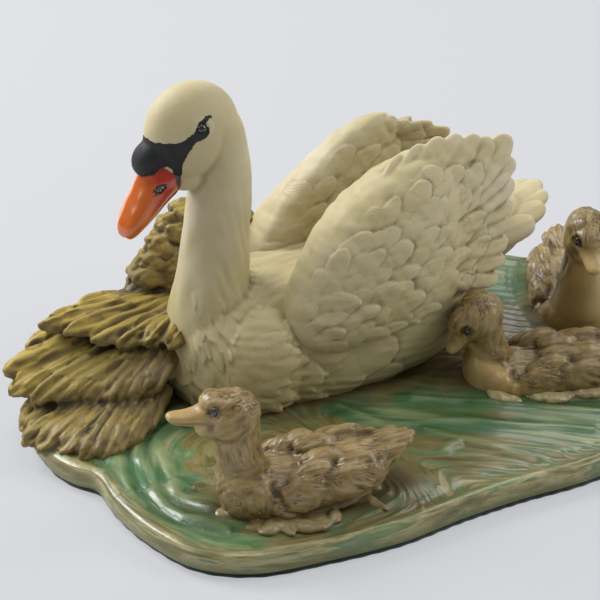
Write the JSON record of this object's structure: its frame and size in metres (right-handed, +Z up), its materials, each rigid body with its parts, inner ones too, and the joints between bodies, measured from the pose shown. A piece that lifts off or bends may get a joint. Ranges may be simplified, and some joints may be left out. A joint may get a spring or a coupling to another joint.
{
  "type": "swan figurine",
  "caption": "Cast swan with raised wings and cygnets on a rippled water base beside water plants, on a felt pad.",
  "frame": {"origin": "centre of the underside of the felt pad, on the surface the figurine stands on", "axes": "+X from the swan's bill to its tail, +Y from the front edge of the water to the back, +Z up"},
  "size_m": [0.2224, 0.1387, 0.1128],
  "materials": {
    "painted_resin": "cast resin, hand painted in ivory, brown, ochre and greens, matt on the birds and glossy on the water",
    "green_felt": "dark green felt"
  },
  "bodies": {
    "root": {"swan_casting": "painted_resin", "felt_pad": "green_felt"}
  },
  "joints": []
}
